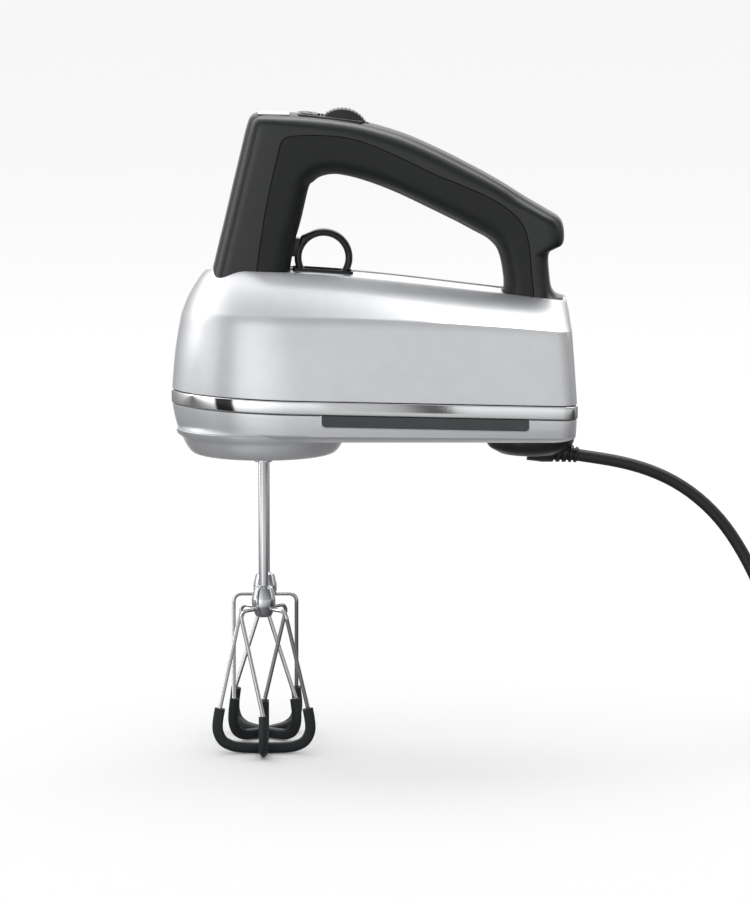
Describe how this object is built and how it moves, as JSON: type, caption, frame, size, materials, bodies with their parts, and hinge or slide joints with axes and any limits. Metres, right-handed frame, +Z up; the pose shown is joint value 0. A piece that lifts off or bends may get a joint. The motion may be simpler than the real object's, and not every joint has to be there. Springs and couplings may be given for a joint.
{
  "type": "hand mixer",
  "caption": "Handheld electric kitchen mixer: long body with a looped handle, worm-driven scraper beaters, pull-ring ejector, thumb wheel and swivelling mains cord.",
  "frame": {"origin": "middle of the hand grip, in the handle's cross-section straight over the middle of the body", "axes": "+X from the nose to the heel, +Y to the user's right, +Z up with the beaters pointing down"},
  "size_m": [0.4136, 0.1225, 0.325],
  "materials": {
    "silver_paint": "bright silver gloss metallic paint on plastic",
    "chrome_trim": "mirror",
    "charcoal_plastic": "fine satin moulded plastic",
    "soft_grip": "satin soft-touch",
    "black_plastic": "satin black",
    "polished_steel": "polished stainless steel",
    "scraper_rubber": "matte silicone rubber",
    "cord_pvc": "satin flexible PVC",
    "plug_pvc": "satin moulded plug",
    "copper": "enamelled copper wire",
    "brass": "plain brass",
    "bronze": "sintered bronze",
    "iron": "laminated electrical steel",
    "gear_nylon": "natural nylon",
    "cast_alloy": "as cast",
    "board": "circuit board",
    "carbon": "pressed carbon",
    "lens": "smoked clear plastic"
  },
  "bodies": {
    "housing": {"upper_housing": "silver_paint", "trim_band": "chrome_trim", "lower_housing": "silver_paint", "left_case_rail": "charcoal_plastic", "right_case_rail": "charcoal_plastic", "handle_shell": "charcoal_plastic", "handle_grip": "soft_grip", "control_bezel": "charcoal_plastic", "button_spring": "polished_steel", "wheel_axle": "polished_steel", "display_window": "lens", "control_board": "board", "trigger_bezel": "black_plastic", "trigger_spring": "polished_steel", "lever_bracket": "gear_nylon", "lever_pin": "polished_steel", "spindle_bushes": "bronze", "gear_frame": "cast_alloy", "gearbox_cover": "gear_nylon", "motor_stator": "iron", "field_coils": "copper", "front_bearing": "polished_steel", "rear_bearing": "polished_steel", "motor_cradle": "gear_nylon", "rear_bracket": "gear_nylon", "brush_holders": "brass", "carbon_brushes": "carbon", "power_board": "board", "case_screws": "polished_steel", "gearbox_screws": "polished_steel", "handle_screws": "polished_steel"},
    "left_drive": {"left_spindle": "polished_steel", "left_worm_wheel": "gear_nylon"},
    "right_drive": {"right_spindle": "polished_steel", "right_worm_wheel": "gear_nylon"},
    "left_beater": {"left_beater_shaft": "polished_steel", "left_beater_wires": "polished_steel", "left_scraper": "scraper_rubber"},
    "right_beater": {"right_beater_shaft": "polished_steel", "right_beater_wires": "polished_steel", "right_scraper": "scraper_rubber"},
    "armature": {"armature_core": "iron", "armature_windings": "copper", "commutator": "brass", "motor_shaft": "polished_steel", "drive_worm": "gear_nylon", "cooling_fan": "gear_nylon"},
    "pull_ring": {"eject_trigger": "black_plastic"},
    "lever": {"eject_lever": "polished_steel"},
    "ejector": {"ejector_plate": "gear_nylon"},
    "dial": {"speed_wheel": "charcoal_plastic"},
    "button": {"power_button": "charcoal_plastic"},
    "cord_swivel": {"cord_boot": "charcoal_plastic", "swivel_retainer": "polished_steel", "cord": "cord_pvc", "cord_coil": "cord_pvc", "cord_tie": "cord_pvc", "plug_body": "plug_pvc", "plug_blades": "brass"}
  },
  "joints": [
    {"name": "armature_spin", "type": "hinge", "parent": "housing", "child": "armature", "pos_m": [0, 0, -0.114], "axis": [1, 0, 0], "continuous": true},
    {"name": "left_beater_spin", "type": "hinge", "parent": "housing", "child": "left_drive", "pos_m": [-0.0553, -0.021, 0], "axis": [0, 0, 1], "continuous": true},
    {"name": "right_beater_spin", "type": "hinge", "parent": "housing", "child": "right_drive", "pos_m": [-0.0553, 0.021, 0], "axis": [0, 0, 1], "continuous": true},
    {"name": "left_beater_eject", "type": "slide", "parent": "left_drive", "child": "left_beater", "axis": [0, 0, -1], "range_m": [0, 0.042]},
    {"name": "right_beater_eject", "type": "slide", "parent": "right_drive", "child": "right_beater", "axis": [0, 0, -1], "range_m": [0, 0.042]},
    {"name": "ring_pull", "type": "slide", "parent": "housing", "child": "pull_ring", "axis": [0, 0, 1], "range_m": [0, 0.0065], "stiffness_N_per_m": 350, "springref_m": -0.006, "deforming": ["trigger_spring"]},
    {"name": "lever_tilt", "type": "hinge", "parent": "housing", "child": "lever", "pos_m": [-0.0405, 0, -0.086], "axis": [0, 1, 0], "range_deg": [-28, 1]},
    {"name": "ejector_press", "type": "slide", "parent": "housing", "child": "ejector", "axis": [0, 0, -1], "range_m": [0, 0.0066]},
    {"name": "speed_dial", "type": "hinge", "parent": "housing", "child": "dial", "pos_m": [-0.0158, 0, 0.011], "axis": [0, 1, 0], "continuous": true},
    {"name": "button_press", "type": "slide", "parent": "housing", "child": "button", "axis": [-0.1184, 0, -0.993], "range_m": [0, 0.001], "stiffness_N_per_m": 600, "springref_m": -0.001, "deforming": ["button_spring"]},
    {"name": "cord_turn", "type": "hinge", "parent": "housing", "child": "cord_swivel", "pos_m": [0.079, 0, -0.142], "axis": [0, 0, 1], "range_deg": [-75, 75]}
  ],
  "couplings": [
    {"joint": "left_beater_spin", "follows": "armature_spin", "ratio": 0.071429},
    {"joint": "right_beater_spin", "follows": "armature_spin", "ratio": -0.071429},
    {"joint": "lever_tilt", "follows": "ring_pull", "rad_per_m": -73.841},
    {"joint": "ejector_press", "follows": "ring_pull", "ratio": 1}
  ]
}
